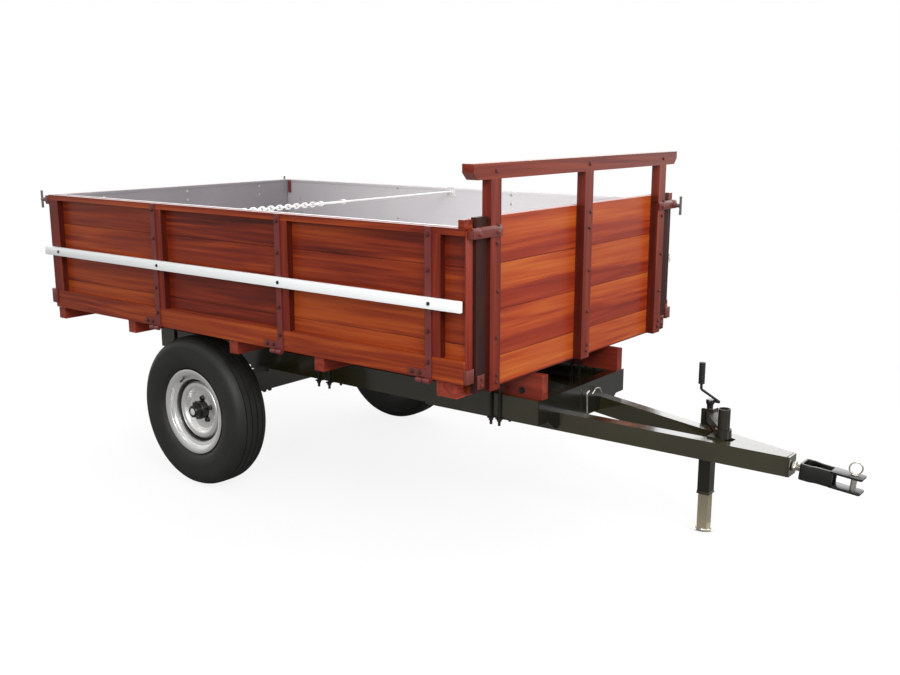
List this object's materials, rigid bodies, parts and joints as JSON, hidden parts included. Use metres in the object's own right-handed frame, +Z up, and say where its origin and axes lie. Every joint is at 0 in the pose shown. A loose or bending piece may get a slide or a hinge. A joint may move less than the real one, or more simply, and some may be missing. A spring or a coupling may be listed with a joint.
{
  "type": "utility trailer",
  "caption": "Farm trailer with a timber box, folding side gates and tailgate, a headboard, a steel drawbar with a pin clevis, and a jack.",
  "frame": {"origin": "on the ground below the middle of the overall length and width", "axes": "+X forward to the drawbar's clevis, +Y to the trailer's left, +Z up"},
  "size_m": [4.4795, 1.953, 1.778],
  "materials": {
    "board_brown": "satin",
    "board_red": "satin",
    "board_orange": "satin",
    "bare_timber": "matte",
    "lining_grey": "satin",
    "steel_brown": "satin",
    "steel_olive": "gloss",
    "steel_black": "gloss",
    "steel_bright": "satin",
    "rail_white": "gloss",
    "rim_silver": "gloss",
    "tyre_black": "matte"
  },
  "bodies": {
    "chassis": {"chassis_rails": "steel_olive", "drawbar_beams": "steel_olive", "drawbar_nose": "steel_olive", "front_crossmember": "steel_olive", "inner_crossmembers": "steel_olive", "axle_beam": "steel_olive", "axle_pads": "steel_olive", "axle_stubs": "steel_olive", "timber_rails": "bare_timber", "cross_bearers": "board_red", "u_bolts": "steel_black", "floor_boards": "bare_timber", "floor_lining": "lining_grey", "headboard_boards": "board_orange", "headboard_posts": "board_red", "headboard_beam": "board_red", "headboard_lining": "lining_grey", "corner_posts": "board_red", "side_hinges": "steel_olive", "tail_hinges": "steel_olive", "jack_tube": "steel_olive", "jack_bracket": "steel_olive", "jack_crank": "steel_black", "hitch_shank": "steel_bright", "hitch_clevis": "steel_black", "hitch_pin": "steel_bright"},
    "gate_right": {"gate_rails_right": "board_red", "gate_posts_right": "board_red", "gate_boards_right": "board_brown", "gate_lining_right": "lining_grey", "gate_straps_right": "steel_brown", "rub_rail_right": "rail_white", "rear_latch_right": "steel_black"},
    "gate_left": {"gate_rails_left": "board_red", "gate_posts_left": "board_red", "gate_boards_left": "board_brown", "gate_lining_left": "lining_grey", "gate_straps_left": "steel_brown", "rub_rail_left": "rail_white", "rear_latch_left": "steel_black", "front_latch_left": "steel_black", "box_chain": "steel_bright"},
    "tailgate": {"tailgate_rails": "board_red", "tailgate_posts": "board_red", "tailgate_boards": "board_brown", "tailgate_lining": "lining_grey", "tailgate_straps": "steel_brown"},
    "wheel_right": {"tyre_right": "tyre_black", "rim_right": "rim_silver", "hub_right": "steel_black"},
    "wheel_left": {"tyre_left": "tyre_black", "rim_left": "rim_silver", "hub_left": "steel_black"},
    "jack_leg": {"jack_leg": "steel_bright", "jack_foot": "steel_bright"}
  },
  "joints": [
    {"name": "gate_right_hinge", "type": "hinge", "parent": "chassis", "child": "gate_right", "pos_m": [-0.64004, -0.9595, 0.858], "axis": [1, 0, 0], "range_deg": [0, 180]},
    {"name": "gate_left_hinge", "type": "hinge", "parent": "chassis", "child": "gate_left", "pos_m": [-0.64004, 0.9595, 0.858], "axis": [-1, 0, 0], "range_deg": [0, 180]},
    {"name": "tailgate_hinge", "type": "hinge", "parent": "chassis", "child": "tailgate", "pos_m": [-2.15504, 0, 0.858], "axis": [0, -1, 0], "range_deg": [0, 180]},
    {"name": "wheel_right_axle", "type": "hinge", "parent": "chassis", "child": "wheel_right", "pos_m": [-1.00104, -0.81, 0.407], "axis": [0, 1, 0], "continuous": true},
    {"name": "wheel_left_axle", "type": "hinge", "parent": "chassis", "child": "wheel_left", "pos_m": [-1.00104, 0.81, 0.407], "axis": [0, 1, 0], "continuous": true},
    {"name": "jack_slide", "type": "slide", "parent": "chassis", "child": "jack_leg", "axis": [0, 0, 1], "range_m": [-0.15, 0.16]}
  ]
}
